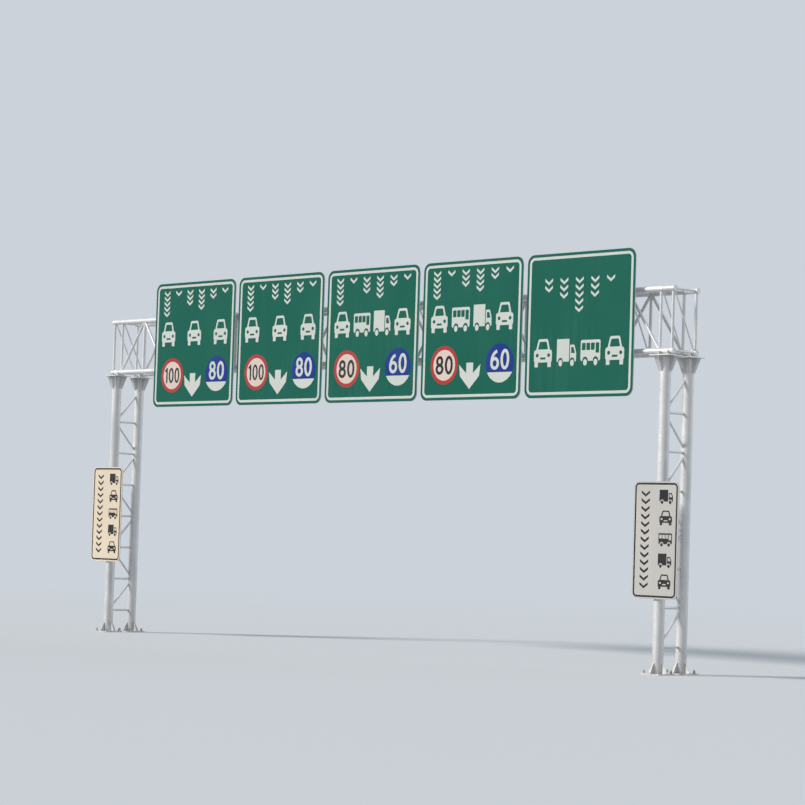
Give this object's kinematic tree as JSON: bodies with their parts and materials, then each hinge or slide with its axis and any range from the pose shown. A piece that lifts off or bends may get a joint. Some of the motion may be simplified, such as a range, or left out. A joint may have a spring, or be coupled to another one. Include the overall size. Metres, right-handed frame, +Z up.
{
  "type": "overhead sign gantry",
  "caption": "Portal sign gantry: a box truss of welded tube on laced twin-column legs, with square green lane signs hung in a row and a tall white sign on each leg.",
  "frame": {"origin": "on the ground, at the centre of the box that holds the whole gantry", "axes": "+X along the gantry from left to right as a driver sees the signs, +Y in the driving direction (the signs face -Y), +Z up"},
  "size_m": [22.9, 1.45, 10.25],
  "materials": {
    "galvanised_steel": "hot-dip galvanised, dull with faint spangle",
    "green_sign_face": "retroreflective film on aluminium sheet, satin",
    "white_sign_face": "retroreflective film on aluminium sheet, satin",
    "sign_rail_aluminium": "mill finish extrusion"
  },
  "bodies": {
    "root": {"base_plate_left_front": "galvanised_steel", "base_plate_left_rear": "galvanised_steel", "base_plate_right_front": "galvanised_steel", "base_plate_right_rear": "galvanised_steel", "cap_plate_left_front": "galvanised_steel", "cap_plate_left_rear": "galvanised_steel", "cap_plate_right_front": "galvanised_steel", "cap_plate_right_rear": "galvanised_steel", "chord_high_front": "galvanised_steel", "chord_high_rear": "galvanised_steel", "chord_low_front": "galvanised_steel", "chord_low_rear": "galvanised_steel", "column_left_front": "galvanised_steel", "column_left_rear": "galvanised_steel", "column_right_front": "galvanised_steel", "column_right_rear": "galvanised_steel", "cross_braces": "galvanised_steel", "leg_lacing_left": "galvanised_steel", "leg_lacing_right": "galvanised_steel", "leg_sign_clamps_left": "galvanised_steel", "leg_sign_clamps_right": "galvanised_steel", "leg_sign_left": "white_sign_face", "leg_sign_rails_left": "sign_rail_aluminium", "leg_sign_rails_right": "sign_rail_aluminium", "leg_sign_right": "white_sign_face", "plan_lacing_high": "galvanised_steel", "plan_lacing_low": "galvanised_steel", "sign_panel_1": "green_sign_face", "sign_panel_2": "green_sign_face", "sign_panel_3": "green_sign_face", "sign_panel_4": "green_sign_face", "sign_panel_5": "green_sign_face", "sign_posts_1": "galvanised_steel", "sign_posts_2": "galvanised_steel", "sign_posts_3": "galvanised_steel", "sign_posts_4": "galvanised_steel", "sign_posts_5": "galvanised_steel", "sign_rails_1": "sign_rail_aluminium", "sign_rails_2": "sign_rail_aluminium", "sign_rails_3": "sign_rail_aluminium", "sign_rails_4": "sign_rail_aluminium", "sign_rails_5": "sign_rail_aluminium", "web_front": "galvanised_steel", "web_rear": "galvanised_steel"}
  },
  "joints": []
}
